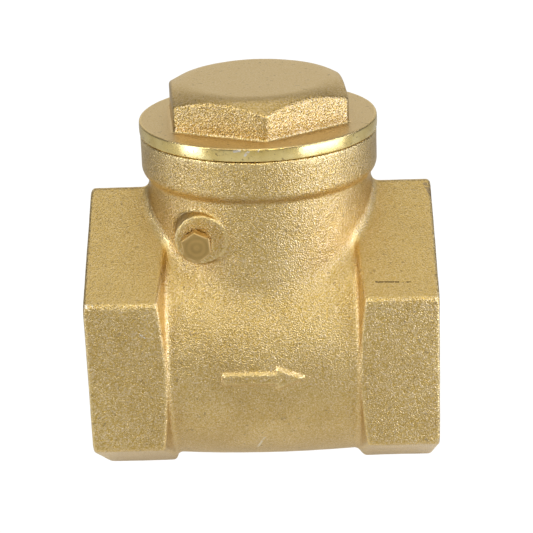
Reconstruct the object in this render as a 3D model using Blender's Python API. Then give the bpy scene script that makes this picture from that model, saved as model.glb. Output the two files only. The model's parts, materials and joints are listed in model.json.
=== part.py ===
"""Swing check valve with G2 threaded ends: cast brass body, screwed bonnet, hinged disc.

Row frame: +X along the flow, +Z up along the bonnet axis, origin where the two axes cross.
Run with: blender --background --python part.py
"""

import math

import bmesh
import bpy
from mathutils import Matrix, Vector

MM = 0.001
GAP = 0.3 * MM

# Driving dimensions of the body.
LENGTH = 88.0 * MM
ACROSS_FLATS = 68.6 * MM
HEX_INNER_X = 24.1 * MM
HEX_INNER_SLOPE = 0.264
BARREL_END_R = 33.3 * MM
BARREL_BULGE = 0.8 * MM
END_CHAMFER = 1.2 * MM
NECK_R = 28.75 * MM
COLLAR_R = 30.35 * MM
COLLAR_BOTTOM = 43.4 * MM
COLLAR_STRAIGHT = 46.6 * MM
COLLAR_TOP = 54.75 * MM

# Bores. Threads are plain walls at their mean radius.
SOCKET_R = 29.0 * MM
SOCKET_DEPTH = 17.0 * MM
SOCKET_LEAD = 1.4 * MM
CHAMBER_R = 30.2 * MM
CHAMBER_END_X = 25.0 * MM
NECK_BORE_R = 25.2 * MM
BONNET_BORE_R = 25.9 * MM

# Seat, leaning back so that the disc hangs shut.
SEAT_TILT = math.radians(12)
SEAT_CENTRE = Vector((-13.0 * MM, 0, 0))
SEAT_BORE_R = 17.5 * MM
SEAT_LIP_R = 20.5 * MM
SEAT_LIP_HEIGHT = 3.5 * MM
SEAT_BORE_DEPTH = 5.0 * MM
THROAT_R = 15.8 * MM
THROAT_MOUTH_R = 19.0 * MM

# Hinge pin, its plug and the boss on the front of the neck.
PIN_X = -15.4 * MM
PIN_Z = 33.3 * MM
PIN_R = 2.4 * MM
PIN_HOLE_R = 2.55 * MM
PIN_CHAMFER = 0.5 * MM
PIN_BACK_Y = 21.5 * MM
PIN_FRONT_Y = -21.7 * MM
LUG_R = 5.0 * MM
LUG_INNER_Y = 12.0 * MM
LUG_WITHIN_R = 27.0 * MM
BOSS_CENTRE = Vector((-14.6 * MM, 0, 34.4 * MM))
BOSS_R = 6.2 * MM
BOSS_FACE_Y = -27.6 * MM
BOSS_ROOT = 20.0 * MM
PLUG_R = 3.0 * MM
PLUG_HOLE_BOTTOM_Y = -22.0 * MM
PLUG_HEX_FLATS = 6.6 * MM
PLUG_PROUD = 3.2 * MM
PLUG_TURN = math.radians(10.6)
PLUG_CHAMFER = 0.5 * MM
SEAL_WASHER = 1.0 * MM

# Flap, in a frame at the pin: local X runs down the seat plane, local Z points downstream.
ARM_HALF_WIDTH = 11.5 * MM
KNUCKLE_R = 4.6 * MM
EYE_R = 7.5 * MM
EYE_BOTTOM = 1.8 * MM
EYE_TOP = 6.0 * MM
ARM_PLATE_TOP = 5.2 * MM
ARM_PLATE_HALF_WIDTH = 8.5 * MM
RIB_START = 2.0 * MM
RIB_RISE = 1.5 * MM
RIB_HALF_WIDTH = 1.8 * MM
HEEL_ANGLE = math.radians(50)
HEEL_THICKNESS = 4.4 * MM
HEEL_HALF_WIDTH = 6.0 * MM
DISC_R = 22.5 * MM
DISC_RIM_WALL = 1.0 * MM
DISC_RIM_DEPTH = 1.5 * MM
DISC_HUB_R = 8.0 * MM
DISC_HUB_TOP = 1.5 * MM
SEAL_THICKNESS = 2.3 * MM
SEAL_INNER_R = 5.0 * MM
RETAINER_R = 13.0 * MM
RETAINER_THICKNESS = 1.5 * MM
STUD_R = 3.0 * MM
STUD_END = 14.6 * MM
STUD_CHAMFER = 0.5 * MM
SCREW_R = 1.5 * MM
SCREW_HEAD_R = 3.6 * MM
SCREW_HEAD_HEIGHT = 2.2 * MM
SCREW_HEAD_CHAMFER = 0.8 * MM
NUT_FLATS = 10.0 * MM
NUT_HEIGHT = 4.0 * MM
WASHER_R = 6.2 * MM
WASHER_THICKNESS = 1.0 * MM
COTTER_R = 0.6 * MM
COTTER_LEVEL = 13.1 * MM
COTTER_HOLE_R = 0.8 * MM
COTTER_REACH = 3.8 * MM
COTTER_EYE_R = 1.3 * MM
COTTER_EYE_SWEEP = math.radians(300)
COTTER_LEG = Vector((1.9 * MM, 1.3 * MM, 0))
SCREW_DEPTH = 3.0 * MM
SCREW_SLOT_HALF_WIDTH = 0.5 * MM
SCREW_SLOT_DEPTH = 1.0 * MM

# Bonnet.
FLANGE_R = 30.6 * MM
FLANGE_TOP = 58.3 * MM
FLANGE_BOTTOM = COLLAR_TOP + GAP
HEAD_CORNER_R = 25.5 * MM
HEAD_TOP = 68.2 * MM
HEAD_TURN = math.radians(5.66)
HEAD_CHAMFER_TOP_R = 19.6 * MM
HEAD_CHAMFER_SLOPE = math.tan(math.radians(30))
FLANGE_RIM_CHAMFER = 0.4 * MM
SPIGOT_R = 25.5 * MM
SPIGOT_BOTTOM = 46.0 * MM
SPIGOT_HOLLOW_R = 21.0 * MM
HEAD_HOLLOW_R = 16.5 * MM
HEAD_HOLLOW_TOP = 62.5 * MM
GASKET_INNER_R = 26.4 * MM
GASKET_OUTER_R = 28.7 * MM
GASKET_THICKNESS = 0.9 * MM

# Raised flow arrow on the front of the barrel.
ARROW_PLANE_Y = -34.75 * MM
ARROW_ROOT = 32.0 * MM
ARROW_TAIL_X = -10.2 * MM
ARROW_NECK_X = 3.3 * MM
ARROW_TIP_X = 10.6 * MM
ARROW_HALF_SHAFT = 1.45 * MM
ARROW_HALF_HEAD = 3.0 * MM
ARROW_Z = -0.3 * MM
ARROW_LEAN = math.radians(2.5)

FINE = 48
MEDIUM = 32
SMALL = 20

PIN = Vector((PIN_X, 0, PIN_Z))
SEAT_NORMAL = Vector((math.cos(SEAT_TILT), 0, math.sin(SEAT_TILT)))
SEAT_DOWN = Vector((math.sin(SEAT_TILT), 0, -math.cos(SEAT_TILT)))
SEAT_LEVEL = (SEAT_CENTRE - PIN).dot(SEAT_NORMAL)
DISC_REACH = (SEAT_CENTRE - PIN).dot(SEAT_DOWN)
FLAP_FRAME = Matrix((SEAT_DOWN, (0, 1, 0), SEAT_NORMAL)).transposed().to_4x4()
ALONG_X = Matrix.Rotation(math.pi / 2, 4, "Y")
ALONG_MINUS_Y = Matrix.Rotation(math.pi / 2, 4, "X")


def clear_scene():
    for old in list(bpy.data.objects):
        bpy.data.objects.remove(old)


def material(name, colour, roughness, metallic):
    made = bpy.data.materials.new(name)
    made.use_nodes = True
    shader = made.node_tree.nodes["Principled BSDF"]
    shader.inputs["Base Color"].default_value = (*colour, 1)
    shader.inputs["Roughness"].default_value = roughness
    shader.inputs["Metallic"].default_value = metallic
    return made


def place(name, mesh, paint=None, parent=None, matrix=None):
    """Put a mesh in the scene, at a matrix that is relative to its parent."""
    made = bpy.data.objects.new(name, mesh)
    bpy.context.collection.objects.link(made)
    made.parent = parent
    made.matrix_local = matrix or Matrix()
    if paint:
        mesh.materials.append(paint)
        mesh.shade_smooth()
        mesh.set_sharp_from_angle(angle=math.radians(35))
    return made


def mesh_of(name, shape):
    bmesh.ops.recalc_face_normals(shape, faces=shape.faces)
    mesh = bpy.data.meshes.new(name)
    shape.to_mesh(mesh)
    shape.free()
    return mesh


def turned(name, profile, sides, matrix=None):
    """Turn a closed outline of (radius, height) points round Z. A radius of 0 lies on the axis."""
    shape = bmesh.new()
    rings = []
    for radius, height in profile:
        if radius == 0:
            rings.append([shape.verts.new((0, 0, height))] * sides)
            continue
        angles = [math.tau * (k + 0.5) / sides for k in range(sides)]
        points = [(radius * math.cos(a), radius * math.sin(a), height) for a in angles]
        rings.append([shape.verts.new(p) for p in points])
    for ring, after in zip(rings, rings[1:] + rings[:1]):
        for k in range(sides):
            n = (k + 1) % sides
            corners = list(dict.fromkeys((ring[k], ring[n], after[n], after[k])))
            if len(corners) > 2:
                shape.faces.new(corners)
    if matrix:
        shape.transform(matrix)
    return mesh_of(name, shape)


def rod(name, radius, low, high, sides, matrix=None):
    """A plain cylinder along Z from low to high."""
    return turned(name, [(0, low), (radius, low), (radius, high), (0, high)], sides, matrix)


def tube(name, inner, outer, low, high, sides, matrix=None):
    """A plain ring along Z from low to high."""
    outline = [(inner, low), (outer, low), (outer, high), (inner, high)]
    return turned(name, outline, sides, matrix)


def prism(name, outline, low, high, matrix=None):
    """Extrude a flat (x, y) outline along Z from low to high."""
    shape = bmesh.new()
    base = shape.faces.new([shape.verts.new((x, y, low)) for x, y in outline])
    grown = bmesh.ops.extrude_face_region(shape, geom=[base])
    raised = [v for v in grown["geom"] if isinstance(v, bmesh.types.BMVert)]
    bmesh.ops.translate(shape, verts=raised, vec=(0, 0, high - low))
    if matrix:
        shape.transform(matrix)
    return mesh_of(name, shape)


def polygon(radius, sides, turn=0.0):
    angles = [turn + math.tau * k / sides for k in range(sides)]
    return [(radius * math.cos(a), radius * math.sin(a)) for a in angles]


def combine(target, operation, mesh, solver="EXACT"):
    """Add, cut or keep the common part of a helper mesh given in the target's own frame."""
    helper = place(target.name + "_" + mesh.name, mesh)
    helper.parent = target
    helper.matrix_parent_inverse = Matrix()
    helper.hide_render = True
    helper.display_type = "WIRE"
    modifier = target.modifiers.new(mesh.name, "BOOLEAN")
    modifier.operation = operation
    modifier.object = helper
    modifier.solver = solver
    return helper


def cast(target, operation, mesh):
    """Combine for the casting: the exact solver leaves open edges where the tilted seat crosses it."""
    return combine(target, operation, mesh, "MANIFOLD")


def corner_radius(across_flats):
    return across_flats / 2 / math.cos(math.pi / 6)


def body_outline():
    """Half section of the barrel and both ends as (radius, x), before the flats are cut."""
    corner = corner_radius(ACROSS_FLATS) + 0.2 * MM
    shoulder_x = HEX_INNER_X + HEX_INNER_SLOPE * (corner - BARREL_END_R)
    end_x = LENGTH / 2
    right = []
    steps = 6
    for k in range(steps + 1):
        x = HEX_INNER_X * k / steps
        right.append((BARREL_END_R + BARREL_BULGE * (1 - (k / steps) ** 2), x))
    right.append((corner, shoulder_x))
    right.append((corner, end_x - END_CHAMFER * 0.6))
    right.append((corner - END_CHAMFER, end_x))
    right.append((0, end_x))
    left = [(radius, -x) for radius, x in reversed(right[1:])]
    return left + right


def neck_outline():
    """Half section of the neck and the bonnet collar, with its rounded underside."""
    points = [(0, 0), (NECK_R, 0), (NECK_R, COLLAR_BOTTOM)]
    steps = 4
    for k in range(1, steps + 1):
        angle = math.pi / 2 * k / steps
        radius = NECK_R + (COLLAR_R - NECK_R) * math.sin(angle)
        height = COLLAR_BOTTOM + (COLLAR_STRAIGHT - COLLAR_BOTTOM) * (1 - math.cos(angle))
        points.append((radius, height))
    return points + [(COLLAR_R, COLLAR_TOP), (0, COLLAR_TOP)]


def arrow_outline():
    """Arrow outline in X and Z, pointing along the flow."""
    half = [
        (ARROW_TAIL_X, ARROW_HALF_SHAFT),
        (ARROW_NECK_X, ARROW_HALF_SHAFT),
        (ARROW_NECK_X, ARROW_HALF_HEAD),
        (ARROW_TIP_X, 0),
    ]
    lower = [(x, -z) for x, z in reversed(half[:-1])]
    cos_lean = math.cos(ARROW_LEAN)
    sin_lean = math.sin(ARROW_LEAN)
    return [
        (x * cos_lean - z * sin_lean, ARROW_Z + x * sin_lean + z * cos_lean)
        for x, z in half + lower
    ]


def seat_frame():
    """Frame at the seat centre, local Z along the seat's axis, downstream."""
    return Matrix.Translation(SEAT_CENTRE) @ FLAP_FRAME


def chamber_cutters(body):
    """Chamber and neck bore, both ending on the slanted partition behind the seat lip."""
    back = Matrix.Translation(SEAT_NORMAL * -SEAT_LIP_HEIGHT) @ seat_frame()
    ahead = polygon(2 * LENGTH, 4, math.pi / 4)
    for name, radius, low, high, turn in (
        ("chamber", CHAMBER_R, -LENGTH / 2, CHAMBER_END_X, ALONG_X),
        ("neck_bore", NECK_BORE_R, 0, COLLAR_TOP + MM, Matrix()),
    ):
        helper = cast(body, "DIFFERENCE", rod(name, radius, low, high, FINE, turn))
        cast(helper, "INTERSECT", prism("half_space", ahead, 0, LENGTH, back))


def add_seat(body):
    """Raised lip round the seat bore, and the throat that leads to it."""
    at_seat = seat_frame()
    lip = rod("seat_lip", SEAT_LIP_R, -2 * SEAT_LIP_HEIGHT, 0, FINE, at_seat)
    cast(body, "UNION", lip)
    bore = rod("seat_bore", SEAT_BORE_R, -SEAT_BORE_DEPTH, MM, FINE, at_seat)
    cast(body, "DIFFERENCE", bore)
    socket_end = SOCKET_DEPTH - LENGTH / 2
    cone_length = THROAT_MOUTH_R - THROAT_R
    throat = [
        (0, socket_end - MM),
        (THROAT_MOUTH_R, socket_end - MM),
        (THROAT_MOUTH_R, socket_end),
        (THROAT_R, socket_end + cone_length),
        (THROAT_R, SEAT_CENTRE.x),
        (0, SEAT_CENTRE.x),
    ]
    cast(body, "DIFFERENCE", turned("throat", throat, FINE, ALONG_X))


def add_lugs(body):
    """Two lugs that carry the pin, joined to the partition behind them and kept inside the neck."""
    at_pin = Matrix.Translation(PIN) @ ALONG_MINUS_Y
    wall = Matrix.Translation(PIN) @ FLAP_FRAME
    far = NECK_R
    half_web = LUG_R * 0.8
    depth = SEAT_LEVEL - SEAT_LIP_HEIGHT - MM
    for name, low, high in (("front_lug", LUG_INNER_Y, far), ("rear_lug", -far, -LUG_INNER_Y)):
        lug = cast(body, "UNION", rod(name, LUG_R, low, high, SMALL, at_pin))
        web = [(-half_web, -high), (half_web, -high), (half_web, -low), (-half_web, -low)]
        cast(lug, "UNION", prism("web", web, depth, 0, wall))
        cast(lug, "INTERSECT", rod("core", LUG_WITHIN_R, 0, LENGTH, FINE))


def socket_outline(inner_x):
    """Half section of a pipe socket from inner_x out to the end face, with its lead-in."""
    end_x = LENGTH / 2
    return [
        (0, inner_x),
        (SOCKET_R, inner_x),
        (SOCKET_R, end_x - SOCKET_LEAD),
        (SOCKET_R + SOCKET_LEAD, end_x),
        (SOCKET_R + SOCKET_LEAD, end_x + MM),
        (0, end_x + MM),
    ]


def cut_openings(body):
    """Pipe sockets, bonnet thread, gasket recess, pin hole and plug hole."""
    outlet = socket_outline(CHAMBER_END_X - MM)
    cast(body, "DIFFERENCE", turned("outlet_socket", outlet, FINE, ALONG_X))
    inlet = socket_outline(LENGTH / 2 - SOCKET_DEPTH)
    upstream = Matrix.Rotation(math.pi, 4, "Z") @ ALONG_X
    cast(body, "DIFFERENCE", turned("inlet_socket", inlet, FINE, upstream))
    recess_r = GASKET_OUTER_R + GAP
    recess_bottom = FLANGE_BOTTOM - GASKET_THICKNESS - 2 * GAP
    bonnet = [
        (0, COLLAR_BOTTOM),
        (BONNET_BORE_R, COLLAR_BOTTOM),
        (BONNET_BORE_R, recess_bottom),
        (recess_r, recess_bottom),
        (recess_r, COLLAR_TOP + MM),
        (0, COLLAR_TOP + MM),
    ]
    cast(body, "DIFFERENCE", turned("bonnet_bore", bonnet, FINE))
    at_pin = Matrix.Translation(PIN) @ ALONG_MINUS_Y
    holes = [
        (0, -PIN_BACK_Y - GAP),
        (PIN_HOLE_R, -PIN_BACK_Y - GAP),
        (PIN_HOLE_R, -PLUG_HOLE_BOTTOM_Y),
        (PLUG_R + GAP, -PLUG_HOLE_BOTTOM_Y),
        (PLUG_R + GAP, -BOSS_FACE_Y + MM),
        (0, -BOSS_FACE_Y + MM),
    ]
    cast(body, "DIFFERENCE", turned("pin_hole", holes, SMALL, at_pin))


def make_body(brass):
    mesh = turned("valve_body", body_outline(), FINE, ALONG_X)
    body = place("valve_body", mesh, brass)
    flats = polygon(corner_radius(ACROSS_FLATS), 6)
    cast(body, "INTERSECT", prism("flats", flats, -LENGTH, LENGTH, ALONG_X))
    cast(body, "UNION", turned("neck", neck_outline(), FINE))
    at_boss = Matrix.Translation(BOSS_CENTRE) @ ALONG_MINUS_Y
    cast(body, "UNION", rod("boss", BOSS_R, BOSS_ROOT, -BOSS_FACE_Y, MEDIUM, at_boss))
    arrow = prism("arrow", arrow_outline(), ARROW_ROOT, -ARROW_PLANE_Y, ALONG_MINUS_Y)
    cast(body, "UNION", arrow)
    chamber_cutters(body)
    add_seat(body)
    add_lugs(body)
    cut_openings(body)
    return body


def make_pin(steel):
    """The pin lies along Y and slides in from the front."""
    chamfer = PIN_CHAMFER
    length = PIN_BACK_Y - PIN_FRONT_Y
    outline = [
        (0, 0),
        (PIN_R - chamfer, 0),
        (PIN_R, chamfer),
        (PIN_R, length - chamfer),
        (PIN_R - chamfer, length),
        (0, length),
    ]
    mesh = turned("hinge_pin", outline, SMALL)
    back_end = Matrix.Translation((PIN_X, PIN_BACK_Y, PIN_Z))
    return place("hinge_pin", mesh, steel, matrix=back_end @ ALONG_MINUS_Y)


def make_plug(brass, fibre):
    """Screwed plug with a small hexagon, and the seal washer it squeezes."""
    mouth = Matrix.Translation((PIN_X, BOSS_FACE_Y, PIN_Z)) @ ALONG_MINUS_Y
    depth = BOSS_FACE_Y - PLUG_HOLE_BOTTOM_Y
    washer_top = depth + GAP + SEAL_WASHER
    washer = rod("plug_seal", PLUG_R - 0.1 * MM, depth + GAP, washer_top, SMALL)
    place("plug_seal", washer, fibre, matrix=mouth)
    thread = [
        (0, washer_top + GAP),
        (PLUG_R - PLUG_CHAMFER, washer_top + GAP),
        (PLUG_R, washer_top + GAP + PLUG_CHAMFER),
        (PLUG_R, 2 * GAP),
        (0, 2 * GAP),
    ]
    plug = place("pin_plug", turned("pin_plug", thread, SMALL), brass, matrix=mouth)
    corner = corner_radius(PLUG_HEX_FLATS)
    outline = polygon(corner, 6, math.pi / 2 + PLUG_TURN)
    combine(plug, "UNION", prism("hexagon", outline, GAP, PLUG_PROUD))


def arm_plate():
    """Plate outline in the flap frame: straight sides running into the eye's circle."""
    lean = math.asin((ARM_PLATE_HALF_WIDTH - EYE_R) / DISC_REACH)
    points = [(0, ARM_PLATE_HALF_WIDTH)]
    steps = 12
    for k in range(steps + 1):
        angle = math.pi / 2 - lean - (math.pi - 2 * lean) * k / steps
        points.append((DISC_REACH + EYE_R * math.cos(angle), EYE_R * math.sin(angle)))
    return points + [(0, -ARM_PLATE_HALF_WIDTH)]


def make_arm(brass, pivot):
    """Knuckle on the pin, plate and rib down to the eye, and the heel that stops it open."""
    half = ARM_HALF_WIDTH
    knuckle = rod("swing_arm", KNUCKLE_R, -half, half, MEDIUM, ALONG_MINUS_Y)
    arm = place("swing_arm", knuckle, brass, pivot)
    combine(arm, "UNION", prism("plate", arm_plate(), EYE_BOTTOM, ARM_PLATE_TOP))
    eye = Matrix.Translation((DISC_REACH, 0, 0))
    combine(arm, "UNION", rod("eye", EYE_R, EYE_BOTTOM, EYE_TOP, MEDIUM, eye))
    rib_end = DISC_REACH - EYE_R
    rib = [
        (RIB_START, EYE_BOTTOM),
        (rib_end, EYE_BOTTOM),
        (rib_end, EYE_TOP),
        (RIB_START, EYE_TOP + RIB_RISE),
    ]
    rib_mesh = prism("rib", rib, -RIB_HALF_WIDTH, RIB_HALF_WIDTH, ALONG_MINUS_Y)
    combine(arm, "UNION", rib_mesh)
    nose_reach = -(SEAT_LEVEL - SEAT_LIP_HEIGHT) - GAP - HEEL_THICKNESS / 2
    heel = [(0, -HEEL_THICKNESS / 2), (0, HEEL_THICKNESS / 2)]
    steps = 8
    for k in range(steps + 1):
        angle = math.pi / 2 + math.pi * k / steps
        x = -nose_reach + HEEL_THICKNESS / 2 * math.cos(angle)
        heel.append((x, HEEL_THICKNESS / 2 * math.sin(angle)))
    # The nose points at the partition when the arm has swung fully open.
    closed_turn = Matrix.Rotation(HEEL_ANGLE - math.pi / 2, 4, "Y")
    heel_turn = closed_turn @ ALONG_MINUS_Y
    heel_mesh = prism("heel", heel, -HEEL_HALF_WIDTH, HEEL_HALF_WIDTH, heel_turn)
    combine(arm, "UNION", heel_mesh)
    past = ARM_HALF_WIDTH + MM
    bore = rod("pin_bore", PIN_HOLE_R, -past, past, SMALL, ALONG_MINUS_Y)
    combine(arm, "DIFFERENCE", bore)
    stud_bore = rod("stud_bore", STUD_R + GAP, 0, EYE_TOP + MM, SMALL, eye)
    combine(arm, "DIFFERENCE", stud_bore)
    return arm


def make_disc(brass, steel, rubber, pivot):
    """Disc with its stud, the rubber facing and what holds the two together."""
    axis = Matrix.Translation((DISC_REACH, 0, 0))
    face_top = SEAT_LEVEL + GAP + SEAL_THICKNESS
    plate_bottom = face_top + GAP
    rim_inner = DISC_R - DISC_RIM_WALL
    seal_r = rim_inner - GAP
    boss_bottom = SEAT_LEVEL + GAP
    outline = [
        (0, boss_bottom),
        (SEAL_INNER_R - GAP, boss_bottom),
        (SEAL_INNER_R - GAP, plate_bottom),
        (rim_inner, plate_bottom),
        (rim_inner, plate_bottom - DISC_RIM_DEPTH),
        (DISC_R, plate_bottom - DISC_RIM_DEPTH),
        (DISC_R, plate_bottom + 0.6 * MM),
        (DISC_R - 1.2 * MM, plate_bottom + 1.4 * MM),
        (DISC_HUB_R + 1.5 * MM, plate_bottom + 2.2 * MM),
        (DISC_HUB_R, DISC_HUB_TOP),
        (STUD_R, DISC_HUB_TOP),
        (STUD_R, STUD_END - STUD_CHAMFER),
        (STUD_R - STUD_CHAMFER, STUD_END),
        (0, STUD_END),
    ]
    disc = place("disc", turned("disc", outline, FINE), brass, pivot, axis)
    hole_top = SCREW_DEPTH + GAP
    screw_hole = rod("screw_hole", SCREW_R + GAP, boss_bottom - MM, hole_top, SMALL)
    combine(disc, "DIFFERENCE", screw_hole)
    across = Matrix.Translation((0, 0, COTTER_LEVEL)) @ ALONG_MINUS_Y
    cotter_hole = rod("cotter_hole", COTTER_HOLE_R, -NUT_HEIGHT, NUT_HEIGHT, SMALL, across)
    combine(disc, "DIFFERENCE", cotter_hole)

    seal = tube("disc_seal", SEAL_INNER_R, seal_r, SEAT_LEVEL + GAP, face_top, FINE)
    place("disc_seal", seal, rubber, pivot, axis)

    retainer_top = SEAT_LEVEL
    retainer_bottom = retainer_top - RETAINER_THICKNESS
    retainer = tube(
        "seal_retainer", SCREW_R + GAP, RETAINER_R, retainer_bottom, retainer_top, MEDIUM
    )
    place("seal_retainer", retainer, steel, pivot, axis)

    head_top = retainer_bottom - GAP
    head_low = head_top - SCREW_HEAD_HEIGHT
    screw = [
        (0, head_low),
        (SCREW_HEAD_R - SCREW_HEAD_CHAMFER, head_low),
        (SCREW_HEAD_R, head_low + SCREW_HEAD_CHAMFER),
        (SCREW_HEAD_R, head_top),
        (SCREW_R, head_top),
        (SCREW_R, SCREW_DEPTH),
        (0, SCREW_DEPTH),
    ]
    screw_mesh = turned("retainer_screw", screw, SMALL)
    screw_piece = place("retainer_screw", screw_mesh, steel, pivot, axis)
    half = SCREW_SLOT_HALF_WIDTH
    far = SCREW_HEAD_R + MM
    slot = [(-half, -far), (half, -far), (half, far), (-half, far)]
    slot_top = head_low + SCREW_SLOT_DEPTH
    combine(screw_piece, "DIFFERENCE", prism("slot", slot, head_low - MM, slot_top))

    washer_bottom = EYE_TOP + GAP
    washer_top = washer_bottom + WASHER_THICKNESS
    hole_r = STUD_R + GAP
    washer = tube("disc_washer", hole_r, WASHER_R, washer_bottom, washer_top, MEDIUM)
    place("disc_washer", washer, steel, pivot, axis)

    nut_bottom = washer_top + GAP
    nut_top = nut_bottom + NUT_HEIGHT
    corners = polygon(corner_radius(NUT_FLATS), 6)
    nut = place("disc_nut", prism("disc_nut", corners, nut_bottom, nut_top), brass, pivot, axis)
    combine(nut, "DIFFERENCE", rod("nut_bore", hole_r, nut_bottom - MM, nut_top + MM, SMALL))

    make_cotter(steel, pivot, axis)


def make_cotter(steel, pivot, axis):
    """Split pin through the stud: round eye at the front end, legs bent apart at the back."""
    leg = COTTER_LEG
    root = Vector((0, COTTER_REACH, 0))
    path = [root + leg, root, -root]
    steps = 10
    for k in range(1, steps + 1):
        angle = COTTER_EYE_SWEEP * k / steps
        back = COTTER_EYE_R * (1 - math.cos(angle))
        path.append(Vector((COTTER_EYE_R * math.sin(angle), -COTTER_REACH - back, 0)))
    raised = Matrix.Translation((0, 0, COTTER_LEVEL))
    pin = place("split_pin", swept("split_pin", path, COTTER_R, 10, raised), steel, pivot, axis)
    inner = root - Vector((0.1 * MM, 0.7 * MM, 0))
    second = [inner, root + Vector((-0.4 * MM, 0, 0)), root + Vector((-leg.x, leg.y, 0))]
    combine(pin, "UNION", swept("leg", second, COTTER_R * 0.9, 9, raised))


def swept(name, path, radius, sides, matrix):
    """Round bar along a path of points, with flat ends."""
    shape = bmesh.new()
    rings = []
    across = None
    for index, point in enumerate(path):
        before = path[max(index - 1, 0)]
        after = path[min(index + 1, len(path) - 1)]
        along = (after - before).normalized()
        across = along.orthogonal() if across is None else across - along * across.dot(along)
        across.normalize()
        other = along.cross(across)
        ring = []
        for k in range(sides):
            angle = math.tau * k / sides
            offset = across * math.cos(angle) + other * math.sin(angle)
            ring.append(shape.verts.new(point + offset * radius))
        rings.append(ring)
    for ring, following in zip(rings, rings[1:]):
        for k in range(sides):
            n = (k + 1) % sides
            shape.faces.new((ring[k], ring[n], following[n], following[k]))
    shape.faces.new(rings[0])
    shape.faces.new(rings[-1])
    shape.transform(matrix)
    return mesh_of(name, shape)


def make_bonnet(brass, fibre):
    """Screwed cap with its hexagon head, and the flat gasket under the flange."""
    gasket_low = FLANGE_BOTTOM - GAP - GASKET_THICKNESS
    gasket = tube(
        "bonnet_gasket", GASKET_INNER_R, GASKET_OUTER_R, gasket_low, FLANGE_BOTTOM - GAP, FINE
    )
    place("bonnet_gasket", gasket, fibre)
    slope = HEAD_CHAMFER_SLOPE
    rim = FLANGE_RIM_CHAMFER
    shelf = HEAD_HOLLOW_TOP - 5 * MM
    chamfer_low = HEAD_TOP - (HEAD_CORNER_R - HEAD_CHAMFER_TOP_R) * slope
    outline = [
        (SPIGOT_HOLLOW_R, SPIGOT_BOTTOM),
        (SPIGOT_R - MM, SPIGOT_BOTTOM),
        (SPIGOT_R, SPIGOT_BOTTOM + MM),
        (SPIGOT_R, FLANGE_BOTTOM),
        (FLANGE_R, FLANGE_BOTTOM),
        (FLANGE_R, FLANGE_TOP - rim),
        (FLANGE_R - rim, FLANGE_TOP),
        (0, FLANGE_TOP),
        (0, shelf),
        (SPIGOT_HOLLOW_R, shelf),
    ]
    cap = place("bonnet_cap", turned("bonnet_cap", outline, FINE), brass)
    corners = polygon(HEAD_CORNER_R, 6, HEAD_TURN - math.pi / 2)
    head = combine(cap, "UNION", prism("head", corners, FLANGE_TOP - 0.5 * MM, HEAD_TOP))
    crown = [
        (0, FLANGE_BOTTOM),
        (HEAD_CORNER_R + MM, FLANGE_BOTTOM),
        (HEAD_CORNER_R + MM, chamfer_low - MM * slope),
        (HEAD_CHAMFER_TOP_R, HEAD_TOP),
        (0, HEAD_TOP),
    ]
    combine(head, "INTERSECT", turned("crown", crown, FINE))
    hollow = [
        (0, FLANGE_BOTTOM - 3 * MM),
        (HEAD_HOLLOW_R + 4 * MM, FLANGE_BOTTOM - 3 * MM),
        (HEAD_HOLLOW_R + 4 * MM, FLANGE_BOTTOM),
        (HEAD_HOLLOW_R, HEAD_HOLLOW_TOP - 3 * MM),
        (HEAD_HOLLOW_R - 3 * MM, HEAD_HOLLOW_TOP),
        (0, HEAD_HOLLOW_TOP),
    ]
    combine(cap, "DIFFERENCE", turned("hollow", hollow, FINE))


def main():
    clear_scene()
    blasted = material("blasted_brass", (0.62, 0.49, 0.24), 0.5, 1.0)
    machined = material("machined_brass", (0.66, 0.52, 0.25), 0.3, 1.0)
    steel = material("stainless_steel", (0.62, 0.62, 0.6), 0.3, 1.0)
    rubber = material("nitrile_rubber", (0.03, 0.03, 0.03), 0.6, 0.0)
    fibre = material("sealing_fibre", (0.09, 0.07, 0.05), 0.8, 0.0)
    make_body(blasted)
    make_pin(steel)
    make_plug(machined, fibre)
    pivot = bpy.data.objects.new("flap_pivot", None)
    bpy.context.collection.objects.link(pivot)
    pivot.matrix_local = Matrix.Translation(PIN) @ FLAP_FRAME
    make_arm(machined, pivot)
    make_disc(machined, steel, rubber, pivot)
    make_bonnet(blasted, fibre)


main()
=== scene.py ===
"""Looks of the swing check valve: fine surfaces, materials, light and camera round the CAD frame.

Every visible piece is the zero surface of a distance function, written in millimetres in the shared
frame, meshed on a grid and then moved towards the exact surface.
"""

import json
import math

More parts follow.
